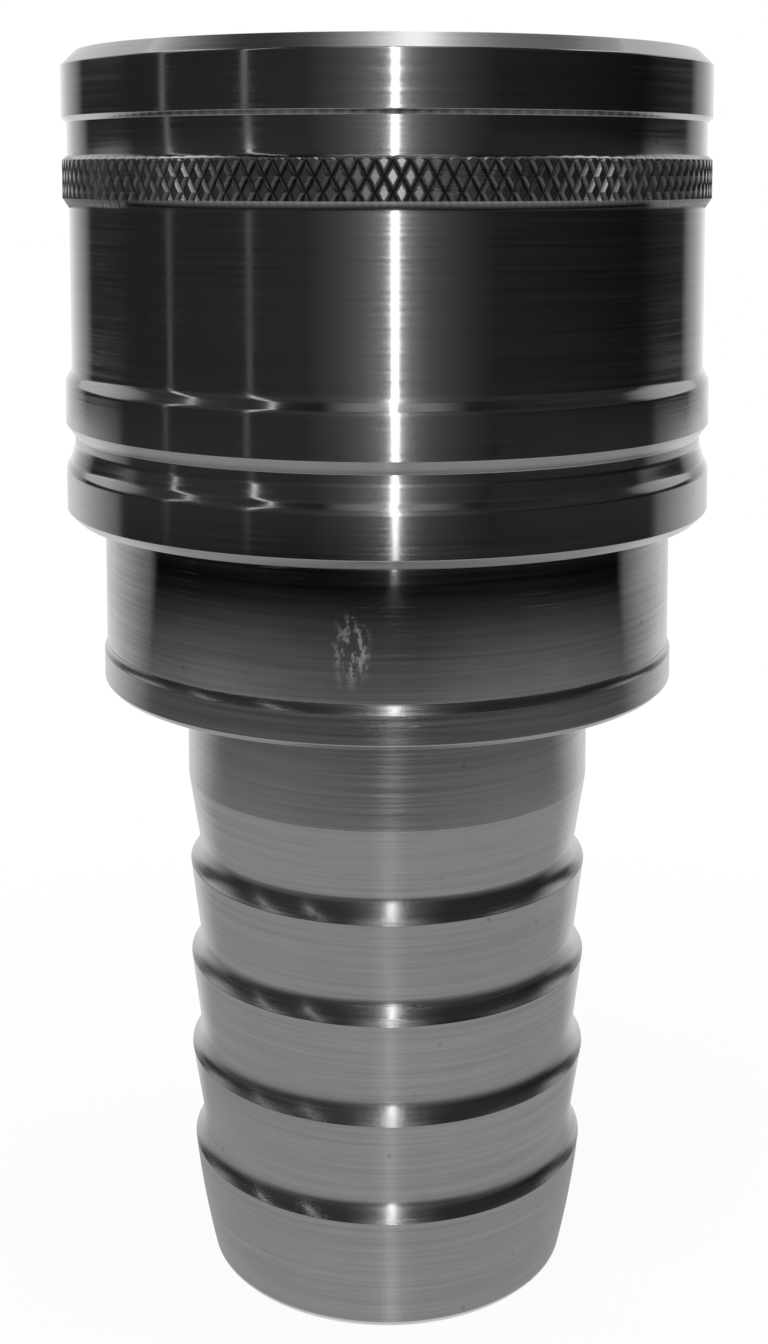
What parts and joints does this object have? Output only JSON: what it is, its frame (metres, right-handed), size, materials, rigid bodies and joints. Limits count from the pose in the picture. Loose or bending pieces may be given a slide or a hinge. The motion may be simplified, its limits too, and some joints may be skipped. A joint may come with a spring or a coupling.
{
  "type": "quick release coupling",
  "caption": "Stainless hose coupling socket with a sprung, knurled release sleeve, a ring of locking balls, a shut-off poppet and a barbed hose tail.",
  "frame": {"origin": "centre of the flat ring at the open end of the hose tail, on the coupling's axis", "axes": "+Z along the axis from the hose tail to the mouth that takes the plug; +X through the gap of the sleeve's retaining ring and the first ball"},
  "size_m": [0.064, 0.064, 0.1223],
  "materials": {
    "sleeve_steel": "polished with a diamond knurl near the mouth",
    "body_steel": "polished, with fine turning lines",
    "tail_steel": "satin as turned",
    "ball_steel": "hardened and polished",
    "spring_steel": "drawn wire",
    "valve_steel": "fine turned",
    "seal_rubber": "smooth, lightly greased",
    "backup_plastic": "cut from white rod"
  },
  "bodies": {
    "coupling_body": {"hose_tail": "tail_steel", "socket_body": "body_steel", "sleeve_retaining_ring": "spring_steel", "sleeve_spring": "spring_steel", "plug_seal": "seal_rubber", "plug_seal_backup_ring": "backup_plastic", "valve_spring": "spring_steel", "valve_guide": "valve_steel", "tail_seal": "seal_rubber"},
    "washer": {"spring_washer": "valve_steel"},
    "sleeve": {"release_sleeve": "sleeve_steel"},
    "valve": {"valve_poppet": "valve_steel", "poppet_seal": "seal_rubber"},
    "ball_01": {"locking_ball_01": "ball_steel"},
    "ball_02": {"locking_ball_02": "ball_steel"},
    "ball_03": {"locking_ball_03": "ball_steel"},
    "ball_04": {"locking_ball_04": "ball_steel"},
    "ball_05": {"locking_ball_05": "ball_steel"},
    "ball_06": {"locking_ball_06": "ball_steel"},
    "ball_07": {"locking_ball_07": "ball_steel"},
    "ball_08": {"locking_ball_08": "ball_steel"},
    "ball_09": {"locking_ball_09": "ball_steel"},
    "ball_10": {"locking_ball_10": "ball_steel"},
    "ball_11": {"locking_ball_11": "ball_steel"},
    "ball_12": {"locking_ball_12": "ball_steel"}
  },
  "joints": [
    {"name": "sleeve_slide", "type": "slide", "parent": "coupling_body", "child": "washer", "axis": [0, 0, -1], "range_m": [0, 0.008], "stiffness_N_per_m": 660, "springref_m": -0.015, "deforming": ["sleeve_spring"]},
    {"name": "sleeve_spin", "type": "hinge", "parent": "washer", "child": "sleeve", "pos_m": [0, 0, 0.1], "axis": [0, 0, 1], "continuous": true},
    {"name": "valve_slide", "type": "slide", "parent": "coupling_body", "child": "valve", "axis": [0, 0, -1], "range_m": [0, 0.0075], "stiffness_N_per_m": 5800, "springref_m": -0.003, "deforming": ["valve_spring"]},
    {"name": "ball_01_out", "type": "slide", "parent": "coupling_body", "child": "ball_01", "axis": [1, 0, 0], "range_m": [0, 0.0015]},
    {"name": "ball_02_out", "type": "slide", "parent": "coupling_body", "child": "ball_02", "axis": [0.866, 0.5, 0], "range_m": [0, 0.0015]},
    {"name": "ball_03_out", "type": "slide", "parent": "coupling_body", "child": "ball_03", "axis": [0.5, 0.866, 0], "range_m": [0, 0.0015]},
    {"name": "ball_04_out", "type": "slide", "parent": "coupling_body", "child": "ball_04", "axis": [0, 1, 0], "range_m": [0, 0.0015]},
    {"name": "ball_05_out", "type": "slide", "parent": "coupling_body", "child": "ball_05", "axis": [-0.5, 0.866, 0], "range_m": [0, 0.0015]},
    {"name": "ball_06_out", "type": "slide", "parent": "coupling_body", "child": "ball_06", "axis": [-0.866, 0.5, 0], "range_m": [0, 0.0015]},
    {"name": "ball_07_out", "type": "slide", "parent": "coupling_body", "child": "ball_07", "axis": [-1, 0, 0], "range_m": [0, 0.0015]},
    {"name": "ball_08_out", "type": "slide", "parent": "coupling_body", "child": "ball_08", "axis": [-0.866, -0.5, 0], "range_m": [0, 0.0015]},
    {"name": "ball_09_out", "type": "slide", "parent": "coupling_body", "child": "ball_09", "axis": [-0.5, -0.866, 0], "range_m": [0, 0.0015]},
    {"name": "ball_10_out", "type": "slide", "parent": "coupling_body", "child": "ball_10", "axis": [0, -1, 0], "range_m": [0, 0.0015]},
    {"name": "ball_11_out", "type": "slide", "parent": "coupling_body", "child": "ball_11", "axis": [0.5, -0.866, 0], "range_m": [0, 0.0015]},
    {"name": "ball_12_out", "type": "slide", "parent": "coupling_body", "child": "ball_12", "axis": [0.866, -0.5, 0], "range_m": [0, 0.0015]}
  ],
  "couplings": [
    {"joint": "ball_01_out", "follows": "sleeve_slide", "ratio": 0.1875},
    {"joint": "ball_02_out", "follows": "sleeve_slide", "ratio": 0.1875},
    {"joint": "ball_03_out", "follows": "sleeve_slide", "ratio": 0.1875},
    {"joint": "ball_04_out", "follows": "sleeve_slide", "ratio": 0.1875},
    {"joint": "ball_05_out", "follows": "sleeve_slide", "ratio": 0.1875},
    {"joint": "ball_06_out", "follows": "sleeve_slide", "ratio": 0.1875},
    {"joint": "ball_07_out", "follows": "sleeve_slide", "ratio": 0.1875},
    {"joint": "ball_08_out", "follows": "sleeve_slide", "ratio": 0.1875},
    {"joint": "ball_09_out", "follows": "sleeve_slide", "ratio": 0.1875},
    {"joint": "ball_10_out", "follows": "sleeve_slide", "ratio": 0.1875},
    {"joint": "ball_11_out", "follows": "sleeve_slide", "ratio": 0.1875},
    {"joint": "ball_12_out", "follows": "sleeve_slide", "ratio": 0.1875}
  ]
}
